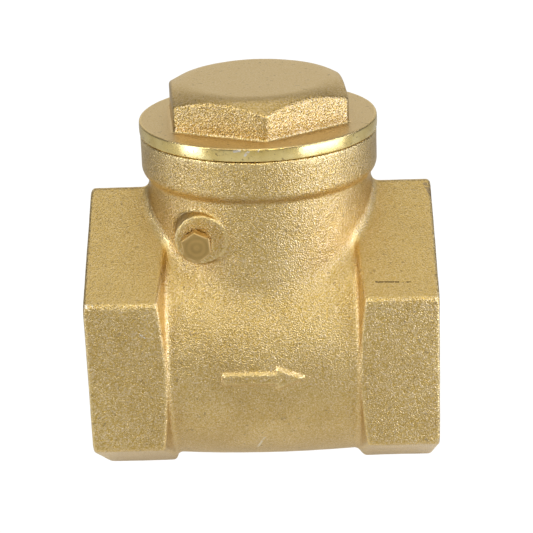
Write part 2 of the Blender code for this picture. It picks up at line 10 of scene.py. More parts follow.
import bpy
import numpy as np
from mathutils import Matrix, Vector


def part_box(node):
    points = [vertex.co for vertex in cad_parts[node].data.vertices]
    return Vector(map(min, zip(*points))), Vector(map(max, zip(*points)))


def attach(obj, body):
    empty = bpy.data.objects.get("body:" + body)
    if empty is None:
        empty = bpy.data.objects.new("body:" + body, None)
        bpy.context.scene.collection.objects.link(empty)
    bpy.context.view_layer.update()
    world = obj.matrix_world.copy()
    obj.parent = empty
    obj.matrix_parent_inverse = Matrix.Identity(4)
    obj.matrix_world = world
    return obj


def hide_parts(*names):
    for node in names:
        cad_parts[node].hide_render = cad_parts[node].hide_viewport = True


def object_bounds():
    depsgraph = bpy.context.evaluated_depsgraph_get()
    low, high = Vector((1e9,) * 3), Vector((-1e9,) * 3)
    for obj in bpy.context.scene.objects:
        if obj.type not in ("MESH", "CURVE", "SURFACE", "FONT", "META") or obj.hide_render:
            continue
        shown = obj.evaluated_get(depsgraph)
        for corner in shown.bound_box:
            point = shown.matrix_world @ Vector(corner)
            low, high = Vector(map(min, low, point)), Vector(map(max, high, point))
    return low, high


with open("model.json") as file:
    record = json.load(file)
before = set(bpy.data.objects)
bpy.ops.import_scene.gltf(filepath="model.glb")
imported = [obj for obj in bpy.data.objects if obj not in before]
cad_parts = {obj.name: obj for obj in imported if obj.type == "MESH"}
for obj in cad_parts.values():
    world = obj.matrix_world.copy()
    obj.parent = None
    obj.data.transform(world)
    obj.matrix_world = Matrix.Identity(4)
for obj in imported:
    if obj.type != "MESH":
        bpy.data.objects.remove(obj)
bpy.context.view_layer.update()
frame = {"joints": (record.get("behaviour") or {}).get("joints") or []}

import openvdb
from mathutils import Matrix, Vector

MM = 0.001
JOINTS = {joint["name"]: joint for joint in frame["joints"]}


def box_mm(node):
    low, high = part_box(node)
    return low / MM, high / MM


def joint_mm(name):
    return Vector(JOINTS[name]["pos_m"]) / MM


# Sizes in millimetres, from the frame where it holds them.
BODY_HIGH = box_mm("valve_body")[1]
CAP_LOW, CAP_HIGH = box_mm("bonnet_cap")
PLUG_LOW, PLUG_HIGH = box_mm("pin_plug")
PIN_LOW, PIN_HIGH = box_mm("hinge_pin")
WASHER_LOW, WASHER_HIGH = box_mm("plug_seal")
GASKET_LOW, GASKET_HIGH = box_mm("bonnet_gasket")
PIN = joint_mm("flap_swing")
DISC_CENTRE = joint_mm("disc_spin")
SEAT_NORMAL = Vector(JOINTS["disc_spin"]["axis"])
SEAT_DOWN = Vector((SEAT_NORMAL.z, 0, -SEAT_NORMAL.x))
DISC_REACH = (DISC_CENTRE - PIN).dot(SEAT_DOWN)

# Clearance between pieces, and the cosine that makes a 45 degree chamfer a true distance.
GAP = 0.3
COS_45 = 0.7071

# Outside of the casting.
END_X = BODY_HIGH.x + 0.12
APOTHEM = 34.42
VERTEX_CUT_R = 38.7
HEX_INNER_X = 24.1
HEX_INNER_SLOPE = 0.264
HEX_INNER_COS = 0.967
BARREL_END_R = 33.3
BARREL_BULGE = 0.8
BARREL_REACH = 30
NECK_R = 28.75
NECK_TOP = 50
COLLAR_R = 30.35
COLLAR_BOTTOM = 43.6
COLLAR_TOP = BODY_HIGH.z
COLLAR_ROUND = 3.0
BOSS_X, BOSS_Z = -14.6, 34.25
BOSS_R = 6.42
BOSS_FACE_Y = -27.6
BOSS_ROOT_Y = -15
CAST_WAVES = 0.05
HEAD_WAVES = 0.03

# Flow arrow: its level, where its parts lie along X, its half widths and its height.
ARROW_Z = -0.7
ARROW_TAIL = -10.2
ARROW_SHAFT_END = 5.0
ARROW_HEAD = 3.3
ARROW_TIP = 10.6
ARROW_SHAFT_HALF = 1.55
ARROW_HEAD_HALF = 3.0
ARROW_HEIGHT = 0.75

# Inside of the casting.
SEAT_X = -13.0
SEAT_LEVEL = (Vector((SEAT_X, 0, 0)) - PIN).dot(SEAT_NORMAL)
SEAT_LIP = 3.5
SEAT_LIP_R = 20.5
SEAT_BORE_R = 17.5
THROAT_R = 15.8
SOCKET_DEPTH = 17.0
LEAD_R = 31.0
CHAMBER_R = 30.2
CHAMBER_END = 25.0
NECK_BORE_R = 25.2
GASKET_RECESS_R = 29.0
LUG_R = 5
LUG_HALF_SPACE = 12
LUG_WEB_HALF = 4
PIN_HOLE_R = 2.5

# Bonnet.
FLANGE_TOP = 58.3
FLANGE_MIDDLE = 56.6
FLANGE_BULGE = 0.03
HEAD_HALF_FLATS = 22.08
HEAD_TURN = math.radians(5.66)
HEAD_TOP_R = 19.8
HEAD_TOP = CAP_HIGH.z - 0.2
SPIGOT_LEAD_R = 25.0
RELIEF_R = 24.8
HOLLOW_R = 21
HOLLOW_HEAD_R = 16.5
HOLLOW_TOP = 62.5

# Pin and plug.
PIN_R = 2.4
PLUG_TURN = math.radians(5.5)
PLUG_HALF_FLATS = 3.5
PLUG_SHIFT = 0.12
PLUG_FACE_Y = PLUG_LOW.y + 0.25
WASHER_R = 2.9

# Arm. Levels are counted downstream from the pin's axis, along the seat's normal.
KNUCKLE_R, KNUCKLE_HALF = 4.6, 11.5
ARM_HALF_WIDTH = 8.5
ARM_LOW, ARM_HIGH = 1.8, 5.2
EYE_R, EYE_HIGH = 7.5, 6.0
RIB_HALF, RIB_TOP = 1.8, 7.5
HEEL_ANGLE = math.radians(50)
HEEL_R, HEEL_HALF = 2.2, 6
ARM_BORE_R = 2.55
STUD_HOLE_R = 3.3

# Disc and what it carries, with the same levels.
FACING = 2.3
DISC_R, DISC_PLATE = 22.5, 2.2
STUD_PLAIN_R, STUD_TOP = 3.0, 14.6
RETAINER_R, RETAINER_PLATE = 13, 1.5
SCREW_HEAD_R, SCREW_HEAD = 3.6, 2.2
DISC_WASHER_R, DISC_WASHER_LEVELS = 6.2, (6.3, 7.3)
NUT_HALF_FLATS, NUT_LEVELS = 5.0, (7.6, 11.6)
COTTER_LEVEL = 13.1
COTTER_HOLE_R = 0.8
COTTER_WIRE_R = 0.55

# Threads: mean radius, depth and pitch.
PIPE_THREAD = (29.07, 1.48, 2.309)
BONNET_THREAD = (25.4, 1.15, 2.0)
PLUG_THREAD = (2.7, 0.6, 1.0)
STUD_THREAD = (2.7, 0.6, 1.0)
SCREW_THREAD = (1.3, 0.35, 0.5)


# Distance functions.

def smooth_join(a, b, k):
    """Union with a fillet about k wide."""
    h = np.clip(1 - np.abs(a - b) / k, 0, None)
    return np.minimum(a, b) - h * h * k / 4


def smooth_keep(a, b, k):
    """Common part with its edge rounded about k wide."""
    h = np.clip(1 - np.abs(a - b) / k, 0, None)
    return np.maximum(a, b) + h * h * k / 4


def round_keep(a, b, radius):
    """Common part with its edge rounded to a true radius."""
    outside = np.hypot(np.clip(a + radius, 0, None), np.clip(b + radius, 0, None))
    return np.minimum(np.maximum(a, b) + radius, 0) + outside - radius


def between(value, low, high):
    return np.maximum(low - value, value - high)


def threaded(radial, along, angle, thread, clearance=0.0):
    """Right-hand helical ridge, flat on crest and root."""
    mean, depth, pitch = thread
    turns = along / pitch - angle / math.tau
    wave = 4 * np.abs(turns - np.floor(turns + 0.5)) - 1
    ridge = np.clip(wave * 0.75, -0.5, 0.5)
    return (radial - mean - clearance + depth * ridge) * 0.6


def hexagon(a, b, half_flats, turn, k):
    """Prism across (a, b) with a corner at the angle turn."""
    out = None
    for step in range(3):
        angle = turn + math.pi / 6 + step * math.pi / 3
        side = np.abs(a * math.cos(angle) + b * math.sin(angle))
        out = side if out is None else smooth_keep(out, side, k)
    return out - half_flats


def unevenness(x, y, z):
    """The slow waviness of a sand casting, within 1 either way."""
    first = np.sin(x * 0.31 + 1.7 * np.sin(z * 0.17 + 0.4)) * np.sin(y * 0.27 + z * 0.21 + 0.9)
    second = np.sin(x * 0.73 - z * 0.61 + 2.1) * np.sin(y * 0.83 + x * 0.37 + 0.5 * np.sin(z * 0.9))
    return 0.65 * first + 0.35 * second


def arrow_relief(x, z):
    """Flat outline of the flow arrow, pointing along the flow."""
    beside = np.abs(z - ARROW_Z)
    shaft = smooth_keep(between(x, ARROW_TAIL, ARROW_SHAFT_END), beside - ARROW_SHAFT_HALF, 0.8)
    slope = math.atan2(ARROW_HEAD_HALF, ARROW_TIP - ARROW_HEAD)
    head_side = (x - ARROW_TIP) * math.sin(slope) + beside * math.cos(slope)
    head = smooth_keep(ARROW_HEAD - x, head_side, 0.8)
    return smooth_join(shaft, head, 0.3)


def casting_outside(x, y, z):
    r = np.hypot(y, z)
    upright = np.hypot(x, y)
    across = np.abs(x)
    flats = hexagon(y, z, APOTHEM, math.pi / 2, 1.0)
    ends = smooth_keep(flats, across - END_X, 0.8)
    inner_cone = (HEX_INNER_X + HEX_INNER_SLOPE * (r - BARREL_END_R) - across) * HEX_INNER_COS
    ends = smooth_keep(ends, inner_cone, 0.9)
    vertex_cut = (r + across - END_X - VERTEX_CUT_R) * COS_45
    ends = smooth_keep(ends, vertex_cut, 0.4)
    barrel_r = BARREL_END_R + BARREL_BULGE * np.clip(1 - (x / HEX_INNER_X) ** 2, 0, 1)
    barrel = np.maximum(r - barrel_r, across - BARREL_REACH)
    out = smooth_join(ends, barrel, 1.6)
    neck = np.maximum(upright - NECK_R, between(z, 0, NECK_TOP))
    out = smooth_join(out, neck, 2.4)
    collar = round_keep(upright - COLLAR_R, COLLAR_BOTTOM - z, COLLAR_ROUND)
    collar = smooth_keep(collar, z - COLLAR_TOP, 0.35)
    out = smooth_join(out, collar, 0.8)
    boss = np.hypot(x - BOSS_X, z - BOSS_Z) - BOSS_R
    boss = smooth_keep(boss, between(y, BOSS_FACE_Y, BOSS_ROOT_Y), 0.6)
    out = smooth_join(out, boss, 1.1)
    arrow = smooth_keep(arrow_relief(x, z), between(r, 30, barrel_r + ARROW_HEIGHT), 0.8)
    arrow = np.maximum(arrow, y + 20)
    out = smooth_join(out, arrow, 0.6)
    return out + CAST_WAVES * unevenness(x, y, z)


def casting_inside(x, y, z):
    """The hollow of the casting: negative where there is no metal."""
    r = np.hypot(y, z)
    upright = np.hypot(x, y)
    round_pipe = np.arctan2(z, y)
    round_neck = np.arctan2(y, x)
    level = (x - SEAT_X) * SEAT_NORMAL.x + z * SEAT_NORMAL.z
    down = (x - SEAT_X) * SEAT_DOWN.x + z * SEAT_DOWN.z
    from_seat_axis = np.hypot(down, y)

    chamber = np.maximum(r - CHAMBER_R, x - CHAMBER_END)
    neck_bore = np.maximum(upright - NECK_BORE_R, between(z, 0, COLLAR_TOP + 2))
    hollow = smooth_join(chamber, neck_bore, 2.0)
    hollow = smooth_keep(hollow, -SEAT_LIP - level, 1.5)
    lip = smooth_keep(from_seat_axis - SEAT_LIP_R, between(level, -2 * SEAT_LIP, 0), 0.5)
    hollow = smooth_keep(hollow, -lip, 0.8)
    from_pin = np.hypot(x - PIN.x, z - PIN.z)
    to_wall = (x - PIN.x) * SEAT_NORMAL.x + (z - PIN.z) * SEAT_NORMAL.z
    beside_pin = np.abs((x - PIN.x) * SEAT_DOWN.x + (z - PIN.z) * SEAT_DOWN.z)
    web = smooth_keep(beside_pin - LUG_WEB_HALF, to_wall, 1.0)
    lugs = smooth_join(from_pin - LUG_R, web, 1.0)
    lugs = smooth_keep(lugs, LUG_HALF_SPACE - np.abs(y), 0.8)
    hollow = smooth_keep(hollow, -lugs, 1.2)

    seat_bore = smooth_keep(from_seat_axis - SEAT_BORE_R, between(level, -5, 2), 0.3)
    throat = np.maximum(r - THROAT_R, between(x, SOCKET_DEPTH - END_X - 1, SEAT_X + 2))
    funnel = np.maximum(r + (x + END_X - SOCKET_DEPTH) - 19, between(x, -28, -20))
    hollow = np.minimum(np.minimum(hollow, seat_bore), np.minimum(throat, funnel))

    past_end = np.abs(x) - END_X
    inlet = np.maximum(threaded(r, x, round_pipe, PIPE_THREAD), x - (SOCKET_DEPTH - END_X))
    outlet = np.maximum(threaded(r, x, round_pipe, PIPE_THREAD), CHAMBER_END - 1 - x)
    lead = np.maximum((r - LEAD_R - past_end) * COS_45, -4 - past_end)
    hollow = np.minimum(np.minimum(hollow, lead), np.minimum(inlet, outlet))

    mouth = threaded(upright, z, round_neck, BONNET_THREAD, GAP)
    mouth = np.maximum(mouth, COLLAR_BOTTOM - z)
    recess = between(z, GASKET_LOW.z - GAP, COLLAR_TOP + 2)
    recess = smooth_keep(upright - GASKET_RECESS_R, recess, 0.3)
    hollow = np.minimum(np.minimum(hollow, mouth), recess)

    pin_hole = np.maximum(from_pin - PIN_HOLE_R, between(y, -23, PIN_HIGH.y + GAP))
    round_pin = np.arctan2(z - PIN.z, x - PIN.x)
    plug_hole = threaded(from_pin, -y, round_pin, PLUG_THREAD, GAP / 2)
    plug_hole = np.maximum(plug_hole, y - WASHER_HIGH.y - GAP)
    return np.minimum(np.minimum(hollow, pin_hole), plug_hole)


def casting(x, y, z):
    return smooth_keep(casting_outside(x, y, z), -casting_inside(x, y, z), 0.5)


def bonnet(x, y, z):
    upright = np.hypot(x, y)
    angle = np.arctan2(y, x)
    bulge = FLANGE_BULGE * (z - FLANGE_MIDDLE) ** 2
    flange = upright - CAP_HIGH.x + bulge
    flange = smooth_keep(flange, between(z, COLLAR_TOP + GAP / 2, FLANGE_TOP), 0.35)
    head = hexagon(x, y, HEAD_HALF_FLATS, HEAD_TURN - math.pi / 2, 0.9)
    head = smooth_keep(head, 50 - z, 0.5)
    slope = math.pi / 6
    crown = (z - HEAD_TOP) * math.cos(slope) + (upright - HEAD_TOP_R) * math.sin(slope)
    head = smooth_keep(head, crown, 0.7)
    head = smooth_keep(head, z - HEAD_TOP, 1.2)
    out = smooth_join(flange, head, 0.9) + HEAD_WAVES * unevenness(x + 40, y, z)
    spigot = threaded(upright, z, angle, BONNET_THREAD)
    spigot = np.maximum(spigot, between(z, CAP_LOW.z, COLLAR_TOP + 2))
    spigot = np.maximum(spigot, (upright - SPIGOT_LEAD_R + CAP_LOW.z - z) * COS_45)
    relief = np.maximum(RELIEF_R - upright, between(z, COLLAR_TOP - 1.4, COLLAR_TOP + GAP))
    out = np.minimum(out, np.maximum(spigot, -relief))
    hollow = smooth_keep(upright - HOLLOW_R, between(z, CAP_LOW.z - 5, FLANGE_TOP - 1), 2.0)
    in_head = smooth_keep(upright - HOLLOW_HEAD_R, between(z, 40, HOLLOW_TOP), 2.0)
    hollow = smooth_join(hollow, in_head, 2.0)
    return smooth_keep(out, -hollow, 0.5)


def gasket(x, y, z):
    upright = np.hypot(x, y)
    middle = (GASKET_LOW.z + GASKET_HIGH.z) / 2
    half = (GASKET_HIGH.z - GASKET_LOW.z) / 2
    return round_keep(np.abs(upright - 27.55) - 1.15, np.abs(z - middle) - half, 0.2)


def hinge_pin(x, y, z):
    radial = np.hypot(x - PIN.x, z - PIN.z)
    body = smooth_keep(radial - PIN_R, between(y, PIN_LOW.y, PIN_HIGH.y), 0.2)
    ends = np.minimum(y - PIN_LOW.y, PIN_HIGH.y - y)
    return smooth_keep(body, (radial - PIN_R + 0.5 - ends) * COS_45, 0.2)


def plug(x, y, z):
    radial = np.hypot(x - PIN.x, z - PIN.z)
    angle = np.arctan2(z - PIN.z, x - PIN.x)
    thread = threaded(radial, -y, angle, PLUG_THREAD)
    thread = np.maximum(thread, between(y, BOSS_FACE_Y - 2 * GAP, PLUG_HIGH.y))
    thread = smooth_keep(thread, (radial - 2.4 - (PLUG_HIGH.y - y)) * COS_45, 0.2)
    corner_at = math.pi / 2 + PLUG_TURN
    head = hexagon(x - PIN.x + PLUG_SHIFT, z - PIN.z, PLUG_HALF_FLATS, corner_at, 0.25)
    head = smooth_keep(head, between(y, PLUG_FACE_Y, BOSS_FACE_Y - GAP), 0.2)
    corner = (radial - 3.72 - (y - PLUG_FACE_Y) * 1.7) * 0.5
    head = smooth_keep(head, corner, 0.2)
    rings = 0.012 * np.cos(radial * 5.2) * np.clip(1 - (y - PLUG_LOW.y) / 0.5, 0, 1)
    return np.minimum(thread, head + rings)


def plug_washer(x, y, z):
    radial = np.hypot(x - PIN.x, z - PIN.z)
    return round_keep(radial - WASHER_R, between(y, WASHER_LOW.y, WASHER_HIGH.y), 0.2)


def flap_frame(x, y, z):
    """Coordinates at the pin: down the seat plane, across, and downstream."""
    down = (x - PIN.x) * SEAT_DOWN.x + (z - PIN.z) * SEAT_DOWN.z
    level = (x - PIN.x) * SEAT_NORMAL.x + (z - PIN.z) * SEAT_NORMAL.z
    return down, y, level


def swing_arm(x, y, z):
    down, side, level = flap_frame(x, y, z)
    from_pin = np.hypot(down, level)
    knuckle = smooth_keep(from_pin - KNUCKLE_R, np.abs(side) - KNUCKLE_HALF, 0.8)
    share = np.clip(down / DISC_REACH, 0, 1)
    half_width = ARM_HALF_WIDTH - share
    past_eye = np.hypot(np.clip(down - DISC_REACH, 0, None), side)
    plate = np.maximum(past_eye - half_width, -down)
    plate = smooth_keep(plate, between(level, ARM_LOW, ARM_HIGH), 0.9)
    from_stud = np.hypot(down - DISC_REACH, side)
    eye = smooth_keep(from_stud - EYE_R, between(level, ARM_LOW, EYE_HIGH), 0.7)
    rib_top = RIB_TOP - 1.5 * share
    rib = smooth_keep(np.abs(side) - RIB_HALF, level - rib_top, 0.8)
    rib = np.maximum(rib, between(down, 2, DISC_REACH - 7))
    rib = np.maximum(rib, 2 - level)
    out = smooth_join(smooth_join(knuckle, plate, 2.0), eye, 0.8)
    out = smooth_join(out, rib, 1.4)
    reach = SEAT_LIP - SEAT_LEVEL - GAP - HEEL_R
    turn = HEEL_ANGLE
    along = -(down * math.sin(turn) + level * math.cos(turn))
    beside = down * math.cos(turn) - level * math.sin(turn)
    heel = np.hypot(beside, along - np.clip(along, 0, reach)) - HEEL_R
    out = smooth_join(out, smooth_keep(heel, np.abs(side) - HEEL_HALF, 0.8), 1.0)
    out = smooth_keep(out, ARM_BORE_R - from_pin, 0.4)
    return smooth_keep(out, np.where(level > 0, STUD_HOLE_R - from_stud, -9), 0.4)


def disc_frame(x, y, z):
    """Radius from the stud's axis, level along it, and how far down and to the side of it."""
    down, side, level = flap_frame(x, y, z)
    down = down - DISC_REACH
    return np.hypot(down, side), level, down, side


def disc(x, y, z):
    radial, level, down, side = disc_frame(x, y, z)
    face = SEAT_LEVEL + GAP + FACING + GAP
    back = face + DISC_PLATE - 0.8 * np.clip((radial - 9.5) / 13, 0, 1)
    plate = smooth_keep(radial - DISC_R, between(level, face, back), 0.8)
    rim = np.abs(radial - DISC_R + 0.5) - 0.5
    rim = smooth_keep(rim, between(level, face - 1.5, face + 1), 0.3)
    hub = smooth_keep(radial - 8, between(level, face, 1.5), 0.6)
    boss = np.maximum(radial - 4.7, between(level, SEAT_LEVEL + GAP, face + 1))
    stud = threaded(radial, level, np.arctan2(side, down), STUD_THREAD)
    stud = np.maximum(stud, between(level, 0, STUD_TOP))
    plain = np.maximum(radial - STUD_PLAIN_R, between(level, 0, 6.2))
    stud = np.minimum(stud, plain)
    stud = smooth_keep(stud, (radial + level - STUD_TOP - 2.4) * COS_45, 0.2)
    out = smooth_join(smooth_join(plate, hub, 1.5), np.minimum(rim, boss), 0.3)
    out = smooth_join(out, stud, 0.5)
    out = np.maximum(out, -np.maximum(radial - 1.8, level - 3.3))
    return np.maximum(out, COTTER_HOLE_R - np.hypot(level - COTTER_LEVEL, down))


def seal(x, y, z):
    radial, level = disc_frame(x, y, z)[:2]
    low = SEAT_LEVEL + GAP
    ring = round_keep(np.abs(radial - 13.1) - 8.1, between(level, low, low + FACING), 0.3)
    groove = 0.08 * np.cos(radial * 6) * np.clip(1 - (level - low) / 0.6, 0, 1)
    return ring + groove


def retainer(x, y, z):
    radial, level = disc_frame(x, y, z)[:2]
    thickness = between(level, SEAT_LEVEL - RETAINER_PLATE, SEAT_LEVEL)
    ring = smooth_keep(radial - RETAINER_R, thickness, 0.5)
    return smooth_keep(ring, 1.8 - radial, 0.3)


def retainer_screw(x, y, z):
    radial, level, down, side = disc_frame(x, y, z)
    top = SEAT_LEVEL - RETAINER_PLATE - GAP
    head = smooth_keep(radial - SCREW_HEAD_R, between(level, top - SCREW_HEAD, top), 0.9)
    slot = np.maximum(np.abs(down) - 0.5, level - top + 1.2)
    head = smooth_keep(head, -slot, 0.15)
    shank = threaded(radial, level, np.arctan2(side, down), SCREW_THREAD)
    shank = np.maximum(shank, between(level, top - 0.5, 3.0))
    return smooth_join(head, shank, 0.2)


def disc_washer(x, y, z):
    radial, level = disc_frame(x, y, z)[:2]
    ring = smooth_keep(radial - DISC_WASHER_R, between(level, *DISC_WASHER_LEVELS), 0.25)
    return smooth_keep(ring, STUD_HOLE_R - radial, 0.25)


def disc_nut(x, y, z):
    radial, level, down, side = disc_frame(x, y, z)
    out = hexagon(down, side, NUT_HALF_FLATS, 0, 0.3)
    out = smooth_keep(out, between(level, *NUT_LEVELS), 0.2)
    crown = 0.866 * (np.abs(level - 9.6) - 2.0 + (radial - 4.9) * 0.577)
    out = smooth_keep(out, crown, 0.3)
    return smooth_keep(out, 3.25 - radial, 0.2)


def cotter_route():
    """Centre lines of the split pin: leg, shank and eye, then the second leg."""
    reach, eye_r, leg_out, leg_end = 3.8, 1.3, 1.9, 1.3
    first = [(leg_out, reach + leg_end, 0), (0, reach, 0), (0, -reach, 0)]
    for k in range(1, 17):
        angle = math.radians(300 * k / 16)
        back = eye_r * (1 - math.cos(angle))
        first.append((eye_r * math.sin(angle), -reach - back, 0))
    second = [(0, reach - 0.2, 0), (-leg_out, reach + leg_end, 0)]
    return first, second


def split_pin(x, y, z):
    down, side, level = flap_frame(x, y, z)
    down = down - DISC_REACH
    level = level - COTTER_LEVEL
    out = None
    for route in cotter_route():
        for start, end in zip(route, route[1:]):
            line = [b - a for a, b in zip(start, end)]
            long = sum(c * c for c in line)
            away = [down - start[0], side - start[1], level - start[2]]
            share = np.clip(sum(a * c for a, c in zip(away, line)) / long, 0, 1)
            across = sum((a - share * c) ** 2 for a, c in zip(away, line))
            wire = np.sqrt(across) - COTTER_WIRE_R
            out = wire if out is None else smooth_join(out, wire, 0.15)
    return out


# Meshing.

def gradient(shape, points, reach=0.04):
    out = np.empty_like(points)
    for axis in range(3):
        step = np.zeros(3, np.float32)
        step[axis] = reach
        ahead = shape(*(points + step).T)
        behind = shape(*(points - step).T)
        out[:, axis] = (ahead - behind) / (2 * reach)
    return out


def surface(name, shape, low, high, step):
    """Mesh of a distance function between two corners, with edge and crease masks for wear and
    painted light.
    """
    low = np.array(low, np.float32) - 2 * step
    high = np.array(high, np.float32) + 2 * step
    counts = np.ceil((high - low) / step).astype(int) + 1
    axes = [low[k] + step * np.arange(counts[k], dtype=np.float32) for k in range(3)]
    grid_x, grid_y, grid_z = np.meshgrid(*axes, indexing="ij", sparse=True)
    values = np.broadcast_to(shape(grid_x, grid_y, grid_z), counts).astype(np.float32)
    grid = openvdb.FloatGrid(3 * step)
    grid.copyFromArray(np.clip(values, -3 * step, 3 * step))
    points, quads = grid.convertToQuads(isovalue=0)
    points = points.astype(np.float32) * step + low
    for _ in range(2):
        slope = gradient(shape, points)
        size = np.maximum((slope ** 2).sum(1), 0.05)
        move = shape(*points.T) / size
        move = np.clip(move, -0.35 * step, 0.35 * step)
        points = points - slope * move[:, None]
    slope = gradient(shape, points)
    normal = slope / np.maximum(np.linalg.norm(slope, axis=1, keepdims=True), 1e-6)
    mesh = bpy.data.meshes.new(name)
    mesh.vertices.add(len(points))
    mesh.vertices.foreach_set("co", (points * MM).ravel())
    mesh.loops.add(quads.size)
    mesh.polygons.add(len(quads))
    mesh.polygons.foreach_set("loop_start", np.arange(0, quads.size, 4, dtype=np.int32))
    mesh.loops.foreach_set("vertex_index", facing_out(points, quads, normal).ravel())
    mesh.update(calc_edges=True)
    mesh.shade_smooth()
    mesh.normals_split_custom_set_from_vertices(normal)
    for label, reach in (("edge", -0.7), ("crease", 0.9)):
        probe = shape(*(points + normal * reach).T)
        flat = np.clip(1 - np.abs(probe) / abs(reach), 0, 1)
        mask = mesh.attributes.new(label, "FLOAT", "POINT")
        mask.data.foreach_set("value", flat.astype(np.float32))
    made = bpy.data.objects.new(name, mesh)
    bpy.context.scene.collection.objects.link(made)
    return made


def facing_out(points, quads, normal):
    a, b, c, d = (points[quads[:, k]] for k in range(4))
    face = np.cross(c - a, d - b)
    towards = (face * normal[quads[:, 0]]).sum(1).sum()
    return (quads if towards > 0 else quads[:, ::-1]).astype(np.int32)


# Materials. Noise scales are per metre.

CAST = (0.70, 0.51, 0.202)
# Lighter, warmer tint for the creases: painted light, standing in for brass reflected in the
# hollows.
CREASE_LIGHT = (0.80, 0.54, 0.22)
# Bright colour of worn edges: wear, lightened further as a painted highlight along them.
BURNISHED_HIGHLIGHT = (1.0, 0.8, 0.38)
GRIME = (0.3, 0.21, 0.1)
SCUFF = (0.93, 0.86, 0.72)
# Colour of the casting's upward faces, a little darker: painted shade on the tops.
BODY_TOP_SHADE = (0.63, 0.46, 0.19)
DULL = (0.62, 0.44, 0.17)
# Colour of the bonnet's upward faces, lighter: its finer top finish, and painted light on the tops.
DULL_TOP_FINISH_AND_LIGHT = (0.68, 0.515, 0.25)

# Stops of ramps. Patches and speckle multiply the tone: the speckle is the grain's colour, and its
# light stops are painted glints. The stain is the rim's own colour.
PATCHES = ((0.3, (0.88, 0.86, 0.82)), (0.7, (1.06, 1.08, 1.12)))
SPECKLE = ((0.3, (0.84, 0.76, 0.44)), (0.5, (0.98, 0.98, 0.95)), (0.7, (1.2, 1.3, 1.9)))
STAIN = ((0.4, (0.8, 0.61, 0.21)), (0.6, (0.94, 0.76, 0.32)))

# Roughness of the blasted skin, what a worn edge takes from it and a crease adds to it, then that
# of the top and of the rim of the bonnet.
BLASTED_ROUGH, WORN_ROUGH, CREASE_ROUGH = 0.31, 0.1, 0.14
TOP_ROUGH, RIM_ROUGH = 0.42, 0.25

# Phase per metre of radius of the rings that a lathe tool leaves.
RING_RATE = 4200.0


def new_material(name):
    made = bpy.data.materials.new(name)
    made.use_nodes = True
    made.node_tree.nodes.clear()
    return made, made.node_tree


def add(tree, kind, **values):
    """A node with its settings, where a key with a leading underscore is an input socket."""
    node = tree.nodes.new(kind)
    for key, value in values.items():
        if key.startswith("_"):
            socket = node.inputs[key[1:].replace("_", " ")]
            if isinstance(value, bpy.types.NodeSocket):
                tree.links.new(value, socket)
            else:
                socket.default_value = value
        else:
            setattr(node, key, value)
    return node


def ramp(tree, factor, stops):
    node = add(tree, "ShaderNodeValToRGB", _Fac=factor)
    elements = node.color_ramp.elements
    while len(elements) < len(stops):
        elements.new(0.5)
    for element, (place, colour) in zip(elements, stops):
        element.position = place
        element.color = (*colour, 1)
    return node.outputs["Color"]


def grey(value):
    return (value, value, value)


def mix(tree, factor, first, second, how="MIX"):
    node = tree.nodes.new("ShaderNodeMix")
    node.data_type = "RGBA"
    node.blend_type = how
    for index, value in ((0, factor), (6, first), (7, second)):
        if isinstance(value, bpy.types.NodeSocket):
            tree.links.new(value, node.inputs[index])
        elif index == 0:
            node.inputs[0].default_value = value
        else:
            node.inputs[index].default_value = (*value, 1)
    return node.outputs[2]


def math_node(tree, how, first, second=0.0):
    node = tree.nodes.new("ShaderNodeMath")
    node.operation = how
    for index, value in enumerate((first, second)):
        if isinstance(value, bpy.types.NodeSocket):
            tree.links.new(value, node.inputs[index])
        else:
            node.inputs[index].default_value = value
    return node.outputs[0]


def noise(tree, where, scale, detail=2.0, rough=0.5):
    node = add(
        tree, "ShaderNodeTexNoise", _Vector=where, _Scale=scale, _Detail=detail, _Roughness=rough
    )
    return node.outputs["Fac"]


def vector_node(tree, how, first, second=None, scale=None):
    node = tree.nodes.new("ShaderNodeVectorMath")
    node.operation = how
    for index, value in enumerate((first, second)):
        if isinstance(value, bpy.types.NodeSocket):
            tree.links.new(value, node.inputs[index])
        elif value is not None:
            node.inputs[index].default_value = value
    if scale is not None:
        tree.links.new(scale, node.inputs["Scale"])
    return node.outputs["Value" if how in ("DOT_PRODUCT", "LENGTH") else "Vector"]


def mark(tree, where, start, end, width, breaks):
    """1 along a broken line from start to end, all in millimetres, and 0 away from it."""
    start, end = (Vector(corner) * MM for corner in (start, end))
    line = end - start
    away = vector_node(tree, "SUBTRACT", where, tuple(start))
    share = vector_node(tree, "DOT_PRODUCT", away, tuple(line / line.length_squared))
    share = add(tree, "ShaderNodeClamp", _Value=share).outputs[0]
    nearest = vector_node(tree, "SCALE", tuple(line), scale=share)
    gap = vector_node(tree, "LENGTH", vector_node(tree, "SUBTRACT", away, nearest))
    near = math_node(tree, "LESS_THAN", gap, width * MM / 2)
    return math_node(tree, "MULTIPLY", near, math_node(tree, "GREATER_THAN", breaks, 0.45))


